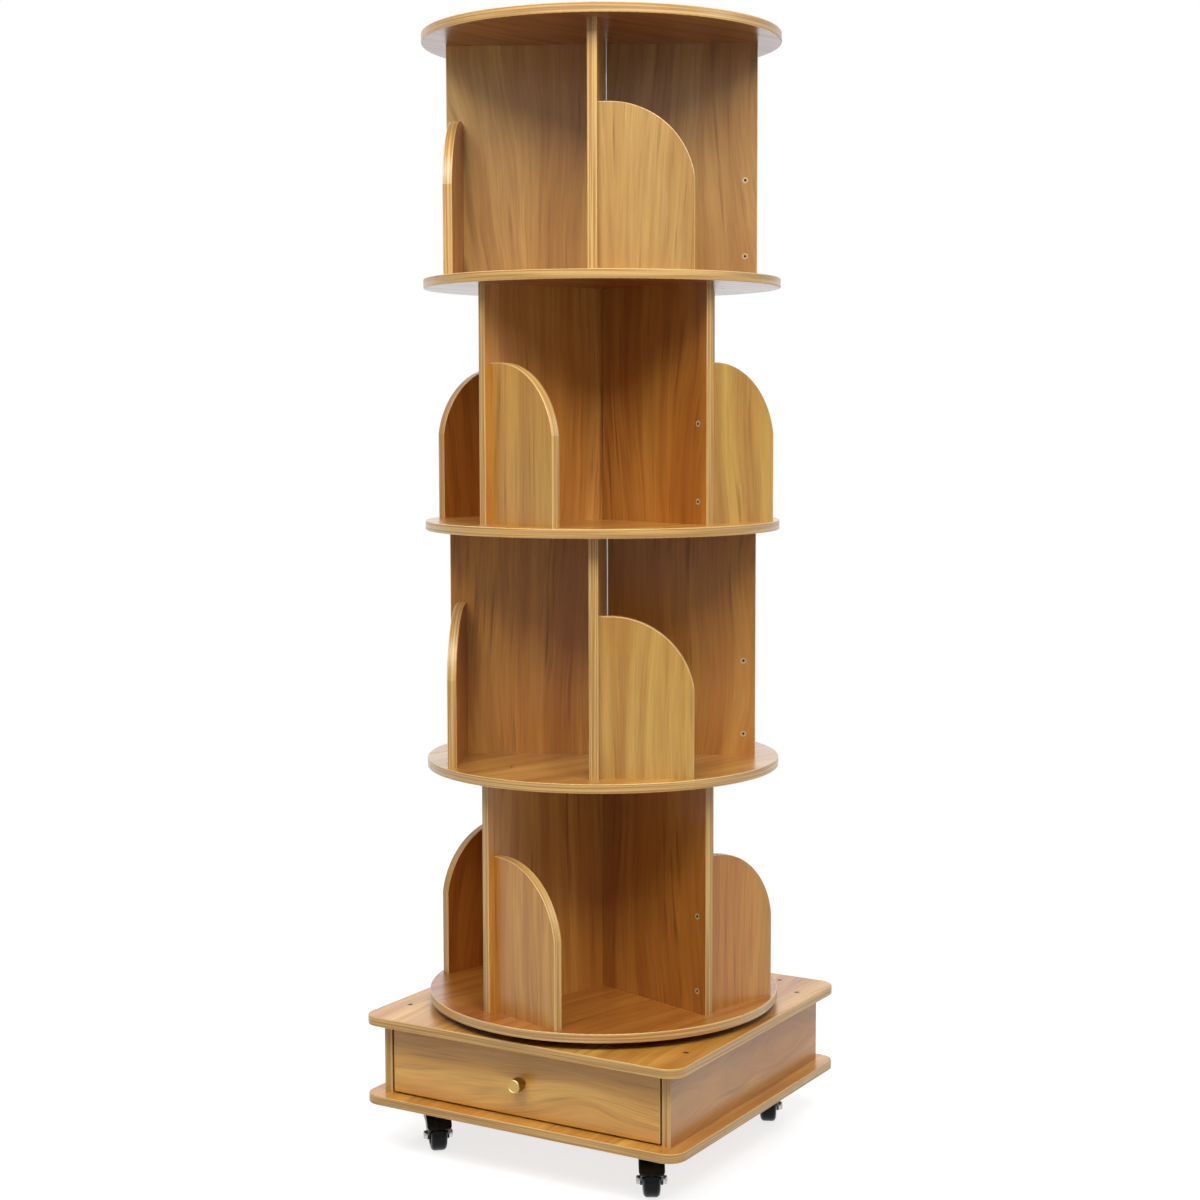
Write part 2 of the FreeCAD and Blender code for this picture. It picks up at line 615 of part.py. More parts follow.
def knob():
    """Turned knob with a neck and a dished face, tapped for its screw."""
    rim = KNOB_LENGTH
    body = lathe([(0, 0), (KNOB_NECK_RADIUS, 0), (KNOB_NECK_RADIUS, KNOB_NECK_LENGTH),
                  (KNOB_RADIUS - KNOB_ARRIS, KNOB_NECK_LENGTH + KNOB_ARRIS),
                  (KNOB_RADIUS, KNOB_NECK_LENGTH + 2 * KNOB_ARRIS), (KNOB_RADIUS, rim - KNOB_ARRIS),
                  (KNOB_RADIUS - KNOB_ARRIS, rim), (KNOB_DISH_RADIUS, rim),
                  (KNOB_DISH_RADIUS - KNOB_DISH_DEPTH, rim - KNOB_DISH_DEPTH), (0, rim - KNOB_DISH_DEPTH)])
    tapped = post(KNOB_SCREW_RADIUS + SCREW_HOLE_CLEARANCE, 0, KNOB_SCREW_DEPTH + SLIDE_CLEARANCE)
    return aimed(body.cut(tapped), V(0, BOX_FRONT_Y, KNOB_Z), V(0, -1, 0))


def knob_screw():
    """Screw from inside the drawer, through its front into the knob."""
    length = FRONT_THICKNESS + KNOB_SCREW_DEPTH
    body = post(KNOB_SCREW_RADIUS, 0, length)
    head = post(KNOB_SCREW_HEAD_RADIUS, -KNOB_SCREW_HEAD, 0)
    return aimed(body.fuse(head), V(0, FRONT_BACK_Y, KNOB_Z), V(0, -1, 0))


def make_drawer():
    """Drawer box, its front and knob, and the runners on the housing."""
    bottom_groove = drawer_bottom(GROOVE_CLEARANCE)
    back = box((-DRAWER_INNER, DRAWER_INNER), (DRAWER_BACK_Y - DRAWER_BACK, DRAWER_BACK_Y),
               (DRAWER_Z, DRAWER_Z + DRAWER_HEIGHT - DRAWER_BACK_DROP))
    save("drawer_front", drawer_front())
    save("drawer_left_side", drawer_side(-1))
    save("drawer_right_side", drawer_side(1))
    save("drawer_back", back.cut(bottom_groove))
    save("drawer_bottom", drawer_bottom())
    save("drawer_knob", knob())
    save("knob_screw", knob_screw())
    save("drawer_runners", runner(-1), runner(1))


# ---------------------------------------------------------------- casters
HUB_HALF = WHEEL_WIDTH / 2 + HUB_RISE
LEG_INNER = HUB_HALF + HUB_GAP
LEG_OUTER = LEG_INNER + FORK_LEG


def lying(shape):
    """Copy turned from the Z axis onto the axle's direction, +Y."""
    return aimed(shape, V(0, 0, 0), V(0, 1, 0))


def wheel():
    """Wheel about its axle: rounded tread, tapered and dished sides, and a hub that reaches the fork."""
    half = WHEEL_WIDTH / 2
    tread = half - WHEEL_TAPER
    side = [(0, half), (WHEEL_DISH_OUTER, half), (WHEEL_RADIUS, tread)]
    shape = lathe(side + [(r, -z) for r, z in reversed(side)])
    shape = rounded(shape, WHEEL_ROUNDING, lambda c: abs(abs(c.z) - tread) < WHEEL_TAPER / 4)
    for face, out in ((half, 1), (-half, -1)):
        floor = face - out * WHEEL_DISH_DEPTH
        low, high = sorted((floor, face + out * WHEEL_DISH_DEPTH))
        dish = post(WHEEL_DISH_OUTER, low, high).cut(post(WHEEL_DISH_INNER, low, high))
        hub = post(WHEEL_DISH_INNER, *sorted((floor, out * HUB_HALF)))
        shape = shape.cut(dish).fuse(hub)
    bore = post(AXLE_RADIUS + AXLE_CLEARANCE, -HUB_HALF, HUB_HALF)
    return moved(lying(shape.cut(bore)), TRAIL, 0, AXLE_Z)


def axle():
    """Axle with a rounded cap outside each of the fork's legs."""
    top = LEG_OUTER + CAP_HEIGHT
    cap = rounded(post(CAP_RADIUS, LEG_OUTER, top), CAP_ROUNDING, lambda c: abs(c.z - top) < CAP_HEIGHT / 4)
    shaft = post(AXLE_RADIUS, -LEG_OUTER, LEG_OUTER)
    return moved(lying(shaft.fuse([cap, cap.mirror(V(0, 0, 0), UP)])), TRAIL, 0, AXLE_Z)


def fork_section(leg, low, high):
    """Cross-section of the fork, widened by its shoulders, as (y, z) corners from low to high."""
    wide = leg + FORK_SHOULDER
    side = [(leg, low), (leg, FORK_SHOULDER_LOW), (wide, FORK_SHOULDER_HIGH), (wide, high)]
    return side + [(-y, z) for y, z in reversed(side)]


def fork():
    """Fork: legs, a hood over the wheel, crown and ball housing, bored for the kingpin and the axle."""
    front = TRAIL + FORK_END_RADIUS
    wide = LEG_OUTER + FORK_SHOULDER
    foot = AXLE_Z - FORK_END_RADIUS
    inside = WHEEL_RADIUS + CROWN_CLEARANCE
    outside = inside + CROWN_THICKNESS

    def around_axle(radius):
        return moved(lying(post(radius, -wide, wide)), TRAIL, 0, AXLE_Z)

    def behind_axle(low, high):
        return box((-FORK_BACK, TRAIL), (-wide, wide), (low, high))

    # outline seen from the side: legs down to the axle, and the hood's arc in front
    reach = outside * cos(radians(HOOD_END_ANGLE))
    rise = outside * sin(radians(HOOD_END_ANGLE))
    side = [(-FORK_BACK, CROWN_HIGH), (-FORK_BACK, CROWN_LOW - CROWN_THICKNESS),
            (TRAIL - FORK_END_RADIUS, AXLE_Z), (front, AXLE_Z), (TRAIL + reach, AXLE_Z + rise),
            (TRAIL + outside, AXLE_Z + rise), (TRAIL + outside, CROWN_HIGH)]
    outline = prism([(x, -wide, z) for x, z in side], V(0, 2 * wide, 0))
    outline = outline.common(around_axle(outside).fuse(behind_axle(foot, CROWN_HIGH)))
    outline = outline.fuse(around_axle(FORK_END_RADIUS))
    span = V(FORK_BACK + TRAIL + outside, 0, 0)
    body = prism([(-FORK_BACK, y, z) for y, z in fork_section(LEG_OUTER, foot, CROWN_HIGH)], span)
    hollow = prism([(-FORK_BACK, y, z) for y, z in fork_section(LEG_INNER, foot, CROWN_LOW)], span)
    hollow = hollow.common(around_axle(inside).fuse(behind_axle(foot, CROWN_LOW)))
    shape = body.common(outline).cut(hollow)
    shape = shape.fuse(post(HOUSING_RADIUS, CROWN_HIGH, HOUSING_TOP))
    pin = post(KINGPIN_RADIUS + AXLE_CLEARANCE, CROWN_LOW, HOUSING_TOP)
    return shape.cut([pin, around_axle(AXLE_RADIUS + AXLE_CLEARANCE)])


def caster_plate(sx, sy):
    """Mounting plate with the kingpin riveted into it, drilled for its screws."""
    plate = rounded_plate(CASTER_PLATE_SIDE, CASTER_PLATE_SIDE, CASTER_PLATE_CORNER,
                          CASTER_PLATE_LOW, CASTER_PLATE_THICKNESS)
    head_top = CROWN_LOW - SWIVEL_CLEARANCE
    pin = post(KINGPIN_RADIUS, head_top, CASTER_PLATE_LOW)
    head = post(KINGPIN_HEAD_RADIUS, head_top - KINGPIN_HEAD, head_top)
    shape = plate.fuse([pin, head])
    return moved(shape, *caster_spot(sx, sy))


def make_casters():
    """Four swivel casters, each with a fork, an axle and a wheel."""
    holes = root_pan_screws(SCREW_HOLE_CLEARANCE)
    plates = [caster_plate(sx, sy).cut(holes) for sx, sy in CASTER_NAMES.values()]
    save("caster_plates", *plates)
    pieces = {"fork": fork(), "axle": axle(), "wheel": wheel()}
    for name, (sx, sy) in CASTER_NAMES.items():
        for kind, shape in pieces.items():
            swung = turned(shape, CASTER_SWIVEL_ANGLES[name])
            save("caster_%s_%s" % (name, kind), moved(swung, *caster_spot(sx, sy)))


make_tower()
make_base()
make_turntable()
make_drawer()
make_casters()
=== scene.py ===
"""Looks of the revolving bookcase: wood-grain laminate with banded edges, brass, steel and black casters."""
import math

import bmesh
import bpy
from mathutils import Matrix, Vector

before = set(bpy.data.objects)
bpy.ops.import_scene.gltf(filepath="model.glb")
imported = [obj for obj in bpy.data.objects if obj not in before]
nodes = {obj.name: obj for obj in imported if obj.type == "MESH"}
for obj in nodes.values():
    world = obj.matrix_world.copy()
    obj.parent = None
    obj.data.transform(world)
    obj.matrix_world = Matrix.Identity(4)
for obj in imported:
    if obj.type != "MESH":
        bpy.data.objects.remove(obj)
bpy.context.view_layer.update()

# ---------------------------------------------------------------- sizes of the frame that the looks follow
TIERS = 4
TOWER_ANGLE = math.radians(-62.4)   # partition a of the top tier, at rest
TWIST_ANGLE = math.radians(-45.0)   # every second tier is turned by this from the top tier
HEAD_PLANE = 0.006                  # from a partition's middle to the faces of the screw heads in it
HEAD_MARGIN = 0.0008                # a surface this close to that plane belongs to a head's face

# directions in the frame
UP, SIDEWAYS, BACKWARDS = (0, 0, 1), (1, 0, 0), (0, 1, 0)


# ---------------------------------------------------------------- writing materials
NOISE_SPAN = (0.3, 0.7)     # nearly all of a noise's values lie between these


class Graph:
    """Short way to write a node tree."""

    def __init__(self, tree, output):
        self.tree = tree
        tree.nodes.clear()
        self.output = tree.nodes.new(output)

    def node(self, kind, **settings):
        """New node with some of its settings changed."""
        made = self.tree.nodes.new(kind)
        for name, value in settings.items():
            setattr(made, name, value)
        return made

    def link(self, source, target):
        """Link an output, or set a plain value."""
        if isinstance(source, bpy.types.NodeSocket):
            self.tree.links.new(source, target)
        elif isinstance(source, (int, float)):
            target.default_value = source
        elif len(source) == 3 and len(target.default_value) == 4:
            target.default_value = (*source, 1.0)
        else:
            target.default_value = source

    def math(self, operation, a, b=0.0, c=0.0, clamp=False):
        """Math node's result."""
        made = self.node("ShaderNodeMath", operation=operation, use_clamp=clamp)
        for value, socket in zip((a, b, c), made.inputs):
            self.link(value, socket)
        return made.outputs[0]

    def ramp(self, value, low, high, to_low=0.0, to_high=1.0, smooth=True):
        """Value mapped from one range to another, and held within it."""
        kind = "SMOOTHSTEP" if smooth else "LINEAR"
        made = self.node("ShaderNodeMapRange", interpolation_type=kind, clamp=True)
        for source, socket in zip((value, low, high, to_low, to_high), made.inputs):
            self.link(source, socket)
        return made.outputs[0]

    def mix(self, factor, a, b, blend="MIX"):
        """Two colours mixed. The node keeps its colour sockets behind those of its other kinds."""
        made = self.node("ShaderNodeMix", data_type="RGBA", blend_type=blend)
        self.link(factor, made.inputs[0])
        self.link(a, made.inputs[6])
        self.link(b, made.inputs[7])
        return made.outputs[2]

    def mix_value(self, factor, a, b):
        """Two numbers mixed."""
        made = self.node("ShaderNodeMix", data_type="FLOAT")
        self.link(factor, made.inputs[0])
        self.link(a, made.inputs[2])
        self.link(b, made.inputs[3])
        return made.outputs[0]

    def mapping(self, vector, location=(0, 0, 0), rotation=(0, 0, 0), scale=(1, 1, 1)):
        """Vector scaled, turned and moved."""
        made = self.node("ShaderNodeMapping")
        self.link(vector, made.inputs["Vector"])
        made.inputs["Location"].default_value = location
        made.inputs["Rotation"].default_value = rotation
        made.inputs["Scale"].default_value = scale
        return made.outputs[0]

    def noise(self, vector, scale, detail=2.0, roughness=0.5, offset=(0, 0, 0)):
        """Noise from 0 to 1, with a scale for each axis in waves to a metre."""
        made = self.node("ShaderNodeTexNoise")
        self.link(self.mapping(vector, location=offset, scale=scale), made.inputs["Vector"])
        made.inputs["Scale"].default_value = 1.0
        made.inputs["Detail"].default_value = detail
        made.inputs["Roughness"].default_value = roughness
        return made.outputs[0]

    def split(self, vector):
        """The three parts of a vector."""
        made = self.node("ShaderNodeSeparateXYZ")
        self.link(vector, made.inputs[0])
        return made.outputs[0], made.outputs[1], made.outputs[2]

    def join(self, x, y, z):
        """Vector from three parts."""
        made = self.node("ShaderNodeCombineXYZ")
        for value, socket in zip((x, y, z), made.inputs):
            self.link(value, socket)
        return made.outputs[0]

    def dot(self, vector, other):
        """How far a vector reaches along another."""
        made = self.node("ShaderNodeVectorMath", operation="DOT_PRODUCT")
        self.link(vector, made.inputs[0])
        self.link(other, made.inputs[1])
        return made.outputs["Value"]

    def length(self, vector):
        """Length of a vector."""
        made = self.node("ShaderNodeVectorMath", operation="LENGTH")
        self.link(vector, made.inputs[0])
        return made.outputs["Value"]

    def principled(self, **values):
        """Principled shader with plain values, linked to the output."""
        made = self.node("ShaderNodeBsdfPrincipled")
        for name, value in values.items():
            made.inputs[name.replace("_", " ").title().replace("Ior", "IOR")].default_value = value
        self.link(made.outputs[0], self.output.inputs["Surface"])
        return made

    def colour(self, shader, source):
        """Set or link a shader's base colour."""
        self.link(source, shader.inputs["Base Color"])

    def bump(self, shader, height, depth):
        """Give a shader a bump, with its depth in metres."""
        made = self.node("ShaderNodeBump")
        made.inputs["Strength"].default_value = 1.0
        made.inputs["Distance"].default_value = depth
        self.link(height, made.inputs["Height"])
        self.link(made.outputs[0], shader.inputs["Normal"])


def new_material(name):
    """Empty material and its graph."""
    material = bpy.data.materials.new(name)
    material.use_nodes = True
    return material, Graph(material.node_tree, "ShaderNodeOutputMaterial")


def srgb(red, green, blue):
    """Colour of a screen value, as the shaders want it."""
    def one(value):
        value /= 255.0
        return value / 12.92 if value <= 0.04045 else ((value + 0.055) / 1.055) ** 2.4
    return one(red), one(green), one(blue)


def dress(name, material):
    """Give a node its material."""
    slots = nodes[name].data.materials
    slots.clear()
    slots.append(material)


# ---------------------------------------------------------------- wood-grain laminate
STRAW = srgb(208, 168, 98)
HONEY = srgb(198, 148, 78)
AMBER = srgb(168, 114, 52)
UMBER = srgb(122, 74, 30)
BAND_PALE = srgb(204, 165, 98)
BAND_WARM = srgb(166, 120, 58)
# painted highlight along each rounded arris of the banding
ARRIS_HIGHLIGHT = srgb(220, 181, 114)

# how a board's tone departs from the colours above; on the partitions and stops of the tiers
# these also paint part of the shade and light that each board gets
PLAIN = (0.89, 0.86, 0.64)
WARM = (0.98, 0.78, 0.43)
DUSKY = (0.92, 0.96, 1.0)
ROSY = (0.84, 0.81, 0.84)
PALE = (1.05, 1.08, 1.08)
FAIR = (0.88, 0.93, 0.95)
GOLDEN = (0.97, 0.95, 0.60)
GILT = (1.18, 1.10, 0.72)
AMBERED = (0.96, 0.76, 0.36)
RUSSET = (1.04, 0.90, 0.70)
BROWN = (1.0, 0.82, 0.52)
# painted shade on the half partitions b of tiers 1 and 3, and a deeper brown, in part painted shade, on the
# lowest shelf
DEEP_SHADE = (0.76, 0.53, 0.30)
SANDY = (1.17, 1.08, 0.73)
SHELF_TONE = (0.97, 0.88, 0.62)

# and how a second face departs from its board, as painted shade: a shelf's underside, and a stop's face
# towards the tower
UNDERSIDE_SHADE = (0.64, 0.38, 0.16)
INNER_FACE_SHADE = (0.80, 0.54, 0.50)

# tones of a tier's wide partition, its half partitions b and d, and its stops. They also paint part of the
# shade
# and light that each board gets: the deep brown on the half partitions b of tiers 1 and 3 is painted shade
# deep inside those tiers, and the greyer tones of the top tier paint part of a sheen on it
TIER_TONES_AND_SHADE = {
    1: (BROWN, DEEP_SHADE, RUSSET, AMBERED),
    2: (PLAIN, BROWN, WARM, PLAIN),
    3: (RUSSET, DEEP_SHADE, RUSSET, GOLDEN),
    4: (DUSKY, ROSY, PALE, FAIR),
}

# how much the print's bands, streaks and veins stand out: boards differ
TOP_CONTRAST = 0.9      # partitions of the top tier
TOWER_CONTRAST = 1.2    # the other partitions, and the shelves
BASE_CONTRAST = 1.5     # top and bottom boards of the base
FRONT_CONTRAST = 0.85   # drawer front

# the print's layers, in waves to a metre across the grain, through the board and along the grain
BANDS = (30.0, 1.0, 1.2)
STREAKS = (80.0, 1.0, 3.2)
VEINS = (190.0, 1.0, 6.0)
FADING = (22.0, 22.0, 7.0)      # where the veins are faint
LINES = (480.0, 1.0, 14.0)
FIBRES = (1300.0, 1300.0, 30.0)
CLOUD = (7.0, 7.0, 2.2)         # between the two palest colours
BAND_SHARE = 0.55
STREAK_SHARE = 0.50
VEIN_SHARE = 0.60
GRAIN_RELIEF = 0.00003

# the log that the boards were cut from, in metres, and in waves to a metre for what wanders
PITH_LEAST = 0.006      # nearest that the pith comes to a board's face
PITH_DEPTH = 0.10       # how much deeper than that it lies at most
PITH_RISE = (1.0, 1.0, 2.4)
PITH_SWAY = 0.10        # how far the pith wanders across the board
SWAY = (5.0, 5.0, 1.5)
RING_WOBBLE = 0.010
WOBBLE = (30.0, 30.0, 5.0)
KNOT_STRETCH = 2.2      # a knot's reach along the grain, over its reach across
KNOT_BULGE = 0.9        # how far it pushes the rings aside, over its reach across

# the drawer front's knot: its place across and along the grain, and its reach
FRONT_KNOT = (-0.112, 0.095, 0.028)

# steps in the grain from one stop of a tier to the next, in metres
OTHER_PAIR_STEP = 3.1
OTHER_SIDE_STEP = 1.7

# edges: the part of the normal that points through the board is 1 on its faces and 0 on its edges
EDGE_TURN = (0.86, 0.93)        # the printed face ends between these
# a painted highlight lies along the rounded arris, between the next two
ARRIS_FOOT = (0.15, 0.45)       # the rounded arris is palest between this and the next
ARRIS_HEAD = (0.80, 0.93)
ARRIS_HIGHLIGHT_SHARE = 0.7
EDGE_LAYERS = (4.0, 560.0, 4.0)

# roughness, and the coat over the print
FACE_GLOSS = 0.26       # roughness of the coat on a board's faces
EDGE_GLOSS = 0.45       # and on its edges
PRINT_ROUGHNESS = (0.30, 0.40)
BOARD_COAT = 0.7
SHELF_COAT = 1.0


def board_frame(graph, along, face, turn):
    """Place and normal in the board's own axes: across the grain, through the board, along the grain."""
    source = graph.node("ShaderNodeTexCoord")
    along, face = Vector(along), Vector(face)
    rotation = (Matrix((face.cross(along), face, along)) @ Matrix.Rotation(-turn, 3, "Z")).to_euler()
    place = graph.mapping(source.outputs["Object"], rotation=rotation)
    normal = graph.mapping(source.outputs["Normal"], rotation=rotation)
    return place, normal


def stop_frame(graph, place, normal):
    """Place and normal in each stop's own axes, from those of the tier: four stops share a node.

    Through a stop is counted outwards from the tower, and each stop gets its own stretch of grain."""
    x, y, z = graph.split(place)
    nx, ny, nz = graph.split(normal)
    other_pair = graph.math("GREATER_THAN", graph.math("ABSOLUTE", x), graph.math("ABSOLUTE", y))
    side = graph.math("SIGN", graph.mix_value(other_pair, y, x))
    step = graph.math("MULTIPLY", side, OTHER_SIDE_STEP)
    step = graph.math("MULTIPLY_ADD", other_pair, OTHER_PAIR_STEP, step)
    across = graph.math("ABSOLUTE", graph.mix_value(other_pair, x, y))
    place = graph.join(across, graph.mix_value(other_pair, y, x), graph.math("ADD", z, step))
    outwards = graph.math("MULTIPLY", graph.mix_value(other_pair, ny, nx), side)
    normal = graph.join(graph.mix_value(other_pair, nx, ny), outwards, nz)
    return place, normal


def knot_bulge(graph, x, z, knot):
    """How far the grain is pushed across the board by a knot."""
    across, along, reach = knot
    beside = graph.math("DIVIDE", graph.math("SUBTRACT", x, across), reach)
    beyond = graph.math("DIVIDE", graph.math("SUBTRACT", z, along), KNOT_STRETCH * reach)
    away = graph.math("ADD", graph.math("MULTIPLY", beside, beside), graph.math("MULTIPLY", beyond, beyond))
    return graph.math("DIVIDE", KNOT_BULGE * reach, graph.math("ADD", away, 1.0))


def growth_rings(graph, place, seed, pith, knot):
    """Distance from the pith of the log that the board's face was cut from.

    pith is its place across the board, and the rings arch where it comes near the face. The grain flows
    around a knot. seed moves every noise, so that no two boards are alike."""
    x, _, z = graph.split(place)
    lie = graph.noise(graph.join(seed * 7.31, 0.0, z), PITH_RISE, detail=1.0)
    lie = graph.math("MULTIPLY_ADD", lie, PITH_DEPTH, PITH_LEAST)
    sway = graph.noise(place, SWAY, detail=1.0, offset=(seed * 1.7, 3.0, seed * 2.3))
    wobble = graph.noise(place, WOBBLE, detail=2.0, offset=(seed * 3.1, 1.0, seed * 0.7))
    off = graph.math("ADD", x, -pith)
    off = graph.math("MULTIPLY_ADD", graph.math("SUBTRACT", sway, 0.5), PITH_SWAY, off)
    if knot:
        off = graph.math("ADD", off, knot_bulge(graph, x, z, knot))
    ring = graph.math("SQRT", graph.math("MULTIPLY_ADD", off, off, graph.math("MULTIPLY", lie, lie)))
    return graph.math("MULTIPLY_ADD", wobble, RING_WOBBLE, ring)


def printed_grain(graph, place, ring, seed, contrast, tone):
    """Colour of the print, its streaks, and its relief: wide bands, streaks, veins, fine lines and fibres."""
    lane = graph.join(ring, seed * 0.53, graph.split(place)[2])
    bands = graph.ramp(graph.noise(lane, BANDS, detail=1.0), 0.36, 0.66)
    streaks = graph.ramp(graph.noise(lane, STREAKS, detail=3.0, roughness=0.6), 0.38, 0.68)
    veins = graph.ramp(graph.noise(lane, VEINS, detail=2.0, roughness=0.6), 0.50, 0.76)
    fading = graph.ramp(graph.noise(place, FADING, detail=1.0, offset=(2.0, seed, 4.0)), 0.35, 0.62)
    veins = graph.math("MULTIPLY", veins, fading)
    lines = graph.noise(lane, LINES, detail=2.0, roughness=0.6)
    fibres = graph.noise(place, FIBRES, detail=1.0)
    cloud = graph.ramp(graph.noise(place, CLOUD, detail=1.0, offset=(seed, 5.0, seed * 1.3)), *NOISE_SPAN)

    colour = graph.mix(cloud, STRAW, HONEY)
    colour = graph.mix(graph.math("MULTIPLY", bands, BAND_SHARE * contrast), colour, AMBER)
    colour = graph.mix(graph.math("MULTIPLY", streaks, STREAK_SHARE * contrast), colour, AMBER)
    colour = graph.mix(graph.math("MULTIPLY", veins, VEIN_SHARE * contrast), colour, UMBER)
    shade = graph.math("MULTIPLY", graph.ramp(lines, *NOISE_SPAN, 1.08, 0.88, smooth=False),
                       graph.ramp(fibres, *NOISE_SPAN, 1.03, 0.96, smooth=False))
    shade = graph.join(*(graph.math("MULTIPLY", shade, part) for part in tone))
    return graph.mix(1.0, colour, shade, blend="MULTIPLY"), streaks, graph.math("ADD", fibres, lines)


def edge_banding(graph, place, through):
    """Colour of the banding: its own straight layers, and a painted highlight along each rounded arris."""
    layers = graph.noise(place, EDGE_LAYERS, detail=2.0, roughness=0.55)
    band = graph.mix(graph.ramp(layers, 0.40, 0.60), BAND_PALE, BAND_WARM)
    # painted highlight on the rounded arris
    arris = graph.math("MULTIPLY", graph.ramp(through, *ARRIS_FOOT),
                       graph.ramp(through, *ARRIS_HEAD, 1.0, 0.0))
    return graph.mix(graph.math("MULTIPLY", arris, ARRIS_HIGHLIGHT_SHARE), band, ARRIS_HIGHLIGHT)


def laminate(name, along, face, turn=0.0, seed=0.0, pith=0.0, contrast=1.0, tone=PLAIN, second_tone=None,
             coat=BOARD_COAT, knot=None, stops=False):
    """Wood-grain laminate with banded edges.

    along and face are the grain's and the broad face's directions before the turn about Z. The second tone is
    painted shade on the face that looks down, or towards the tower on a stop."""
    material, graph = new_material(name)
    place, normal = board_frame(graph, along, face, turn)
    if stops:
        place, normal = stop_frame(graph, place, normal)
    ring = growth_rings(graph, place, seed, pith, knot)
    colour, streaks, relief = printed_grain(graph, place, ring, seed, contrast, tone)
    through = graph.split(normal)[1]
    # painted shade on the face that looks down, or towards the tower on a stop
    if second_tone:
        second = graph.mix(1.0, colour, second_tone, "MULTIPLY")
        colour = graph.mix(graph.math("LESS_THAN", through, 0.0), colour, second)
    through = graph.math("ABSOLUTE", through)
    on_edge = graph.ramp(through, *EDGE_TURN, 1.0, 0.0)
    colour = graph.mix(on_edge, colour, edge_banding(graph, place, through))

    shader = graph.principled(coat_weight=coat, coat_roughness=FACE_GLOSS, specular_ior_level=0.35)
    graph.link(graph.mix_value(on_edge, FACE_GLOSS, EDGE_GLOSS), shader.inputs["Coat Roughness"])
    graph.colour(shader, colour)
    graph.link(graph.ramp(streaks, 0.0, 1.0, *PRINT_ROUGHNESS, smooth=False), shader.inputs["Roughness"])
    graph.bump(shader, relief, GRAIN_RELIEF)
    return material


def dress_board(name, along, face, **looks):
    """Give a board a laminate of its own, with the name of its node."""
    dress(name, laminate(name, along, face, **looks))


# ---------------------------------------------------------------- bare wood: drawer's box, runners and dowels
BARE_PALE = srgb(222, 190, 140)
BARE_WARM = srgb(196, 158, 106)
BARE_CLOUD = srgb(206, 172, 122)
CLOUD_SHARE = 0.4
BARE_RELIEF = 0.00005


def plain_wood(name, along, face):
    """Plain pale wood, not laminated."""
    material, graph = new_material(name)
    place = board_frame(graph, along, face, 0.0)[0]
    streaks = graph.noise(place, (160.0, 160.0, 4.0), detail=4.0, roughness=0.6)
    cloud = graph.ramp(graph.noise(place, (12.0, 12.0, 2.0), detail=2.0), *NOISE_SPAN)
    colour = graph.mix(graph.ramp(streaks, *NOISE_SPAN), BARE_PALE, BARE_WARM)
    colour = graph.mix(graph.math("MULTIPLY", cloud, CLOUD_SHARE), colour, BARE_CLOUD)
    shader = graph.principled(roughness=0.6)
    graph.colour(shader, colour)
    graph.bump(shader, streaks, BARE_RELIEF)
    return material


def dress_plain(name, along, face):
    """Give a piece of plain wood its material, with the name of its node."""
    dress(name, plain_wood(name, along, face))


# ---------------------------------------------------------------- metal and plastic
SOCKET_SHADE = srgb(46, 34, 22)
KNOB_FACE = srgb(214, 180, 112)
KNOB_SIDE_SHADE = srgb(156, 118, 58)
KNOB_ROUGHNESS = 0.46
METAL_RELIEF = 0.00002
PLASTIC_RELIEF = 0.00003


def metal(name, colour, roughness, metallic=1.0):
    """Metal with a little unevenness in its gloss."""
    material, graph = new_material(name)
    place = graph.node("ShaderNodeTexCoord").outputs["Object"]
    grain = graph.noise(place, (400.0, 400.0, 400.0), detail=3.0)
    cloud = graph.noise(place, (60.0, 60.0, 60.0), detail=2.0)
    shader = graph.principled(metallic=metallic)
    darker = tuple(part * 0.82 for part in colour)
    graph.colour(shader, graph.mix(graph.ramp(cloud, *NOISE_SPAN), darker, colour))
    graph.link(graph.ramp(grain, *NOISE_SPAN, roughness * 0.8, roughness * 1.3), shader.inputs["Roughness"])
    graph.bump(shader, grain, METAL_RELIEF)
    return material


def knob_brass(name):
    """Satin brass: painted shade makes the knob's turned side darker than its end face."""
    material, graph = new_material(name)
    source = graph.node("ShaderNodeTexCoord")
    place = source.outputs["Object"]
    facing = graph.math("ABSOLUTE", graph.split(source.outputs["Normal"])[1])
    turned = graph.noise(place, (300.0, 5000.0, 300.0), detail=2.0)
    brushed = graph.noise(place, (1500.0, 300.0, 1500.0), detail=3.0)
    shader = graph.principled(metallic=1.0)
    # painted shade: the turned side darker than the end face
    colour = graph.mix(graph.ramp(facing, 0.15, 0.85), KNOB_SIDE_SHADE, KNOB_FACE)
    worn = graph.ramp(brushed, *NOISE_SPAN, 0.86, 1.06)
    graph.colour(shader, graph.mix(1.0, colour, graph.join(worn, worn, worn), "MULTIPLY"))
    roughness = graph.ramp(turned, *NOISE_SPAN, KNOB_ROUGHNESS * 0.85, KNOB_ROUGHNESS * 1.2)
    graph.link(roughness, shader.inputs["Roughness"])
    graph.bump(shader, turned, METAL_RELIEF)
    return material


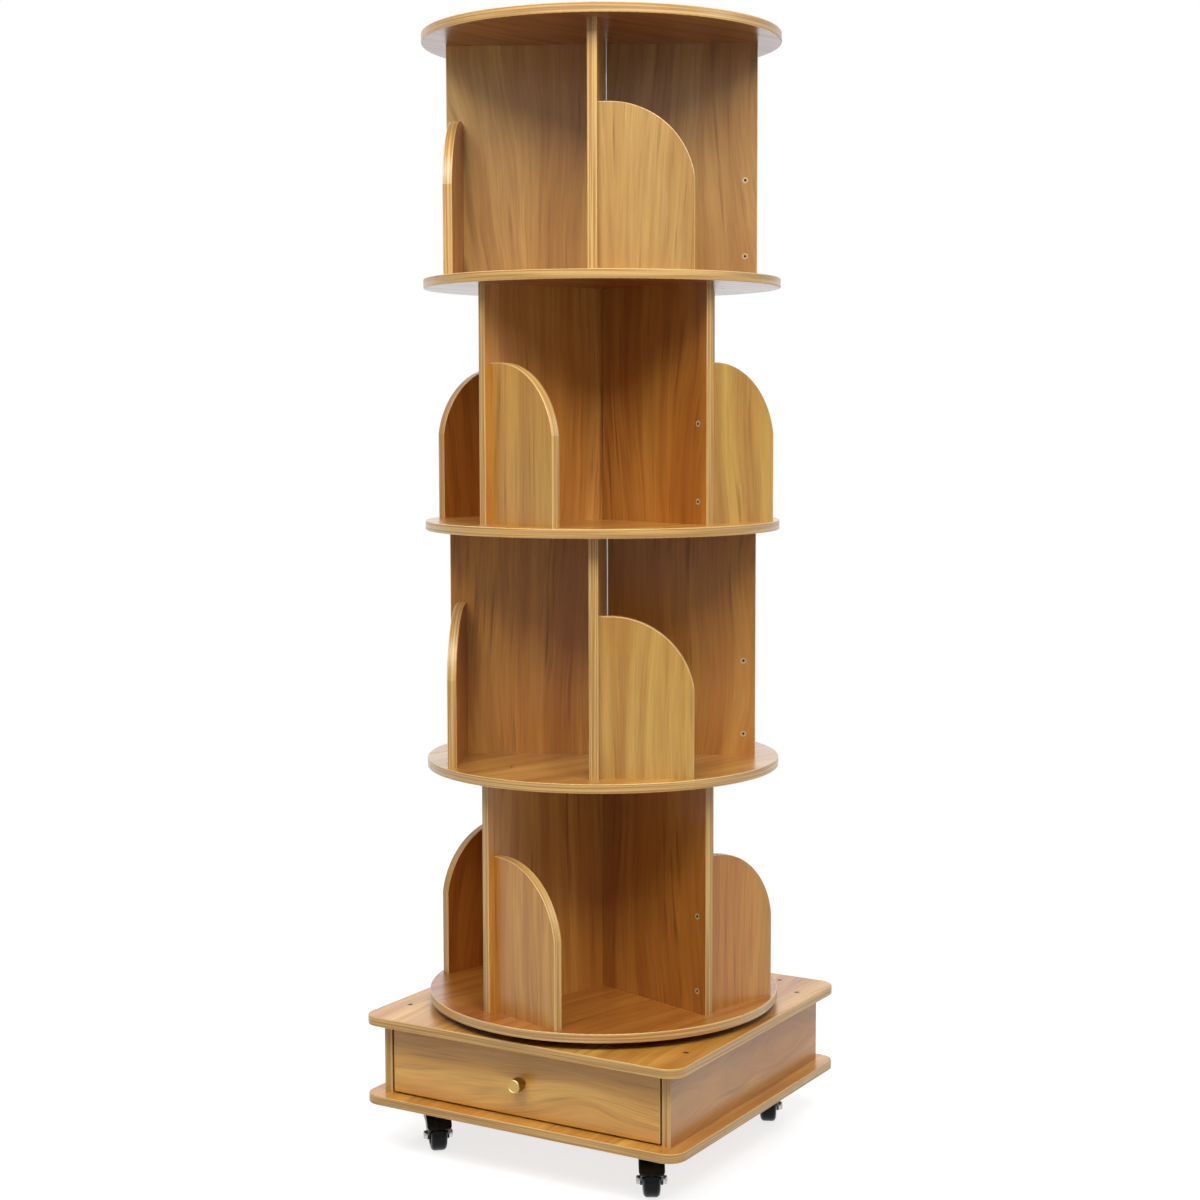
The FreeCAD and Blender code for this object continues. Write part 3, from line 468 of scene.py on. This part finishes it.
def stop_screw_metal(name, colour):
    """Bronzed screw heads with painted shade in the socket: the heads' faces all lie on the partitions'
    faces.
    """
    material, graph = new_material(name)
    source = graph.node("ShaderNodeTexCoord")
    plane = graph.dot(source.outputs["Object"], source.outputs["Normal"])
    off = graph.math("ABSOLUTE", graph.math("SUBTRACT", plane, HEAD_PLANE))
    face = graph.math("LESS_THAN", off, HEAD_MARGIN)
    shader = graph.principled(metallic=0.5, roughness=0.4, specular_ior_level=0.4)
    # painted shade off the heads' faces, in the socket and on the heads' sides, with less gloss and no metal
    # there
    graph.colour(shader, graph.mix(face, SOCKET_SHADE, colour))
    graph.link(graph.mix_value(face, 0.1, 0.5), shader.inputs["Specular IOR Level"])
    graph.link(graph.mix_value(face, 0.0, 0.5), shader.inputs["Metallic"])
    return material


def black_plastic(name, roughness, gloss, darker, lighter):
    """Moulded black plastic, or black enamel."""
    material, graph = new_material(name)
    place = graph.node("ShaderNodeTexCoord").outputs["Object"]
    grain = graph.noise(place, (900.0, 900.0, 900.0), detail=3.0)
    dust = graph.noise(place, (90.0, 90.0, 90.0), detail=4.0)
    shader = graph.principled(specular_ior_level=gloss)
    graph.colour(shader, graph.mix(graph.ramp(dust, 0.35, 0.75), darker, lighter))
    graph.link(graph.ramp(dust, *NOISE_SPAN, roughness * 0.85, roughness * 1.25), shader.inputs["Roughness"])
    graph.bump(shader, grain, PLASTIC_RELIEF)
    return material


# ---------------------------------------------------------------- dressing the frame
SHELF_GRAIN = math.radians(75.0)    # direction of the grain on the shelves


def tier_turn(tier):
    """Direction of partition a in a tier, counted from the lowest."""
    return TOWER_ANGLE + (TIERS - tier) % 2 * TWIST_ANGLE


def dress_tier(tier):
    """Partitions and stops of a tier, counted from the lowest."""
    turn = tier_turn(tier)
    wide, half_b, half_d, stop_tone = TIER_TONES_AND_SHADE[tier]
    contrast = TOP_CONTRAST if tier == TIERS else TOWER_CONTRAST
    seed = tier * 3.0
    dress_board("tier_%d_wide_partition_ac" % tier, UP, BACKWARDS, turn=turn, seed=seed, pith=0.30,
                contrast=contrast, tone=wide)
    for quarters, letter, tone in ((1, "b", half_b), (3, "d", half_d)):
        dress_board("tier_%d_half_partition_%s" % (tier, letter), UP, BACKWARDS,
                    turn=turn + quarters * math.pi / 2, seed=seed + quarters * 0.7, pith=0.22,
                    contrast=contrast, tone=tone)
    dress_board("tier_%d_stops" % tier, UP, BACKWARDS, turn=turn, seed=30.0 + tier, pith=0.36,
                tone=stop_tone, second_tone=INNER_FACE_SHADE, stops=True)


def dress_shelves():
    """Round shelves, from the lowest to the top, of which the lowest is a deeper brown, in part painted
    shade.
    """
    shelves = ["shelf_disc_%d" % (level + 1) for level in range(TIERS)] + ["top_disc"]
    for index, name in enumerate(shelves):
        dress_board(name, SIDEWAYS, UP, turn=SHELF_GRAIN, seed=40.0 + index, pith=0.45,
                    contrast=TOWER_CONTRAST, tone=SHELF_TONE if index else DEEP_SHADE, second_tone=UNDERSIDE_SHADE,
                    coat=SHELF_COAT)


def dress_tower():
    """All the tiers, and the shelves between them."""
    for tier in range(1, TIERS + 1):
        dress_tier(tier)
    dress_shelves()


def dress_base():
    """Boards and panels of the base."""
    dress_board("base_top_board", BACKWARDS, UP, seed=51.0, contrast=BASE_CONTRAST, tone=GILT)
    dress_board("base_bottom_board", BACKWARDS, UP, seed=52.0, contrast=BASE_CONTRAST, tone=GILT)
    for name, seed in (("base_left_side", 53.0), ("base_right_side", 54.0)):
        dress_board(name, BACKWARDS, SIDEWAYS, seed=seed, pith=0.12, tone=AMBERED)
    dress_board("base_back_panel", SIDEWAYS, BACKWARDS, seed=55.0, pith=0.12, tone=GOLDEN)


def dress_drawer():
    """Drawer, its runners and its knob."""
    dress_board("drawer_front", SIDEWAYS, BACKWARDS, seed=56.0, pith=0.10, contrast=FRONT_CONTRAST,
                tone=SANDY, knot=FRONT_KNOT)
    for name in ("drawer_left_side", "drawer_right_side"):
        dress_plain(name, BACKWARDS, SIDEWAYS)
    dress_plain("drawer_back", SIDEWAYS, BACKWARDS)
    dress_plain("drawer_bottom", SIDEWAYS, UP)
    dress_plain("drawer_runners", BACKWARDS, SIDEWAYS)
    dress("drawer_knob", knob_brass("brass"))


def dress_fasteners():
    """Screws, dowels and the turntable."""
    dress_plain("shelf_dowels", UP, SIDEWAYS)
    dress("stop_screws", stop_screw_metal("bronzed_ring", srgb(206, 184, 140)))
    bronze = metal("bronzed_screw", srgb(132, 104, 66), 0.4, metallic=0.8)
    for name in ("shelf_screws", "base_screws"):
        dress(name, bronze)
    steel = metal("zinc_steel", srgb(196, 196, 196), 0.3)
    for name in ("mounting_screws", "turntable_upper_screws", "knob_screw", "turntable_balls"):
        dress(name, steel)
    plate = metal("zinc_plate", srgb(150, 150, 148), 0.4)
    for name in ("turntable_lower_plate", "turntable_upper_plate"):
        dress(name, plate)


def dress_casters():
    """Mounting plates, forks, wheels and axles."""
    tread = black_plastic("wheel_black", 0.30, 0.18, srgb(9, 9, 10), srgb(20, 20, 20))
    enamel = black_plastic("black_enamel", 0.30, 0.28, srgb(22, 24, 24), srgb(34, 36, 35))
    nickel = metal("nickel", srgb(206, 206, 204), 0.14)
    dress("caster_plates", enamel)
    for corner in ("front_left", "front_right", "rear_left", "rear_right"):
        dress("caster_%s_fork" % corner, enamel)
        dress("caster_%s_wheel" % corner, tread)
        dress("caster_%s_axle" % corner, nickel)


# ---------------------------------------------------------------- camera
CAMERA_AZIMUTH = math.radians(30.884)
CAMERA_DISTANCE = 2.75667
CAMERA_HEIGHT = 0.96335
CAMERA_YAW = math.radians(0.0745)
CAMERA_TILT = math.radians(5.1592)
CAMERA_ROLL = math.radians(-0.1447)
LENS = 63.4523
SENSOR = 36.0


def make_camera():
    """Camera in front and to the right of the drawer, looking slightly down."""
    data = bpy.data.cameras.new("camera")
    data.sensor_width = SENSOR
    data.lens = LENS
    camera = bpy.data.objects.new("camera", data)
    bpy.context.scene.collection.objects.link(camera)
    heading = Matrix.Rotation(CAMERA_AZIMUTH + CAMERA_YAW, 4, "Z")
    tilt = Matrix.Rotation(math.pi / 2 - CAMERA_TILT, 4, "X")
    roll = Matrix.Rotation(CAMERA_ROLL, 4, "Z")
    place = Matrix.Translation((CAMERA_DISTANCE * math.sin(CAMERA_AZIMUTH),
                                -CAMERA_DISTANCE * math.cos(CAMERA_AZIMUTH), CAMERA_HEIGHT))
    camera.matrix_world = place @ heading @ tilt @ roll
    bpy.context.scene.camera = camera


# ---------------------------------------------------------------- studio
WHITE = (1.0, 1.0, 1.0)
AMBIENT = 0.03              # light on the bookcase from all around

# what gloss shows: dim on the camera's side, and white behind the bookcase and overhead
DIM = 0.15
BACKDROP = (0.15, 0.85)     # directions away from the camera between which the surroundings turn white
CEILING = (0.03, 0.30)      # and directions upwards
CEILING_WHITE = 0.9
NEAR_FLOOR = (-2.4, -0.6)   # places on the floor before the bookcase between which it turns white

FLOOR_SIZE = 60.0
FLOOR_GREY = 0.55           # what the floor sends back onto the bookcase
FLOOR_LIFT = 1.5            # the light on it as the camera sees it, so that only the shadow isn't white
FLOOR_WHITE = 0.76          # share of plain white near the bookcase, as the camera sees it
GLOSS_WHITE = 0.96          # and as gloss shows it
WHITE_SPREAD = (0.6, 3.0)   # distances from the bookcase between which the share grows to 1
LAMP_AIM = Vector((0.0, 0.0, 0.75))


def seen(graph, mirrored):
    """1 for what the camera sees, mirrored for what gloss shows, and 0 for light on the object."""
    path = graph.node("ShaderNodeLightPath")
    straight = graph.math("ADD", path.outputs["Is Camera Ray"], path.outputs["Is Transmission Ray"])
    return graph.math("MULTIPLY_ADD", path.outputs["Is Glossy Ray"], mirrored, straight, clamp=True)


def away_from_camera(graph, vector):
    """How far a place or a direction lies behind the bookcase as the camera sees it."""
    return graph.dot(vector, (-math.sin(CAMERA_AZIMUTH), math.cos(CAMERA_AZIMUTH), 0.0))


def make_world():
    """White surroundings for the camera, which hardly light the bookcase."""
    world = bpy.data.worlds.new("studio")
    bpy.context.scene.world = world
    world.use_nodes = True
    graph = Graph(world.node_tree, "ShaderNodeOutputWorld")
    background = graph.node("ShaderNodeBackground")
    direction = graph.node("ShaderNodeTexCoord").outputs["Generated"]
    backdrop = graph.ramp(away_from_camera(graph, direction), *BACKDROP)
    ceiling = graph.ramp(graph.split(direction)[2], *CEILING, 0.0, CEILING_WHITE)
    mirrored = graph.ramp(graph.math("MAXIMUM", backdrop, ceiling), 0.0, 1.0, DIM, 1.0, smooth=False)
    colour = graph.mix(seen(graph, mirrored), (AMBIENT, AMBIENT, AMBIENT), WHITE)
    graph.link(colour, background.inputs["Color"])
    background.inputs["Strength"].default_value = 1.0
    graph.link(background.outputs[0], graph.output.inputs["Surface"])


def floor_white():
    """Material of the floor: pale and matt, to take the shadow, and more plain white further off."""
    material, graph = new_material("floor")
    camera_ray = graph.node("ShaderNodeLightPath").outputs["Is Camera Ray"]
    surface = graph.node("ShaderNodeBsdfDiffuse")
    lit = graph.mix_value(camera_ray, FLOOR_GREY, FLOOR_LIFT)
    graph.link(graph.join(lit, lit, lit), surface.inputs["Color"])
    white = graph.node("ShaderNodeEmission")
    white.inputs["Strength"].default_value = 1.0
    place = graph.node("ShaderNodeTexCoord").outputs["Object"]
    near = graph.mix_value(camera_ray, GLOSS_WHITE, FLOOR_WHITE)
    whiteness = graph.ramp(graph.length(place), *WHITE_SPREAD, near, 1.0)
    mirrored = graph.ramp(away_from_camera(graph, place), *NEAR_FLOOR, DIM, 1.0)
    mixed = graph.node("ShaderNodeMixShader")
    graph.link(graph.math("MULTIPLY", seen(graph, mirrored), whiteness), mixed.inputs[0])
    graph.link(surface.outputs[0], mixed.inputs[1])
    graph.link(white.outputs[0], mixed.inputs[2])
    graph.link(mixed.outputs[0], graph.output.inputs["Surface"])
    return material


def make_floor():
    """Plain pale floor."""
    mesh = bpy.data.meshes.new("floor")
    sheet = bmesh.new()
    bmesh.ops.create_grid(sheet, x_segments=1, y_segments=1, size=FLOOR_SIZE / 2)
    sheet.to_mesh(mesh)
    sheet.free()
    floor = bpy.data.objects.new("floor", mesh)
    bpy.context.scene.collection.objects.link(floor)
    floor.data.materials.append(floor_white())


def make_lamp(name, azimuth, elevation, distance, size, power, mirrored=True):
    """Square softbox aimed at the bookcase, and whether gloss shows it."""
    data = bpy.data.lights.new(name, "AREA")
    data.shape = "SQUARE"
    data.size = size
    data.energy = power
    lamp = bpy.data.objects.new(name, data)
    a, e = math.radians(azimuth), math.radians(elevation)
    back = Vector((math.sin(a) * math.cos(e), -math.cos(a) * math.cos(e), math.sin(e)))
    lamp.location = LAMP_AIM + back * distance
    lamp.rotation_euler = back.to_track_quat("Z", "Y").to_euler()
    lamp.visible_glossy = mirrored
    bpy.context.scene.collection.objects.link(lamp)


def make_lamps():
    """Softboxes in front, to the sides and behind."""
    make_lamp("left_softbox", azimuth=6.0, elevation=46.0, distance=3.4, size=1.4, power=65.0)
    make_lamp("right_softbox", azimuth=58.0, elevation=46.0, distance=3.4, size=1.4, power=75.0)
    make_lamp("left_wall", azimuth=-44.0, elevation=45.0, distance=3.6, size=1.2, power=24.0)
    make_lamp("right_wall", azimuth=106.0, elevation=25.0, distance=3.6, size=1.2, power=17.0)
    make_lamp("front_softbox", azimuth=24.0, elevation=16.0, distance=4.0, size=2.2, power=14.0,
              mirrored=False)
    make_lamp("rear_wall", azimuth=211.0, elevation=50.0, distance=3.0, size=1.6, power=20.0)
    make_lamp("rear_softbox", azimuth=205.0, elevation=24.0, distance=3.8, size=1.8, power=50.0,
              mirrored=False)


bpy.context.scene.view_settings.view_transform = "Standard"
make_camera()
make_world()
make_floor()
make_lamps()
dress_tower()
dress_base()
dress_drawer()
dress_fasteners()
dress_casters()
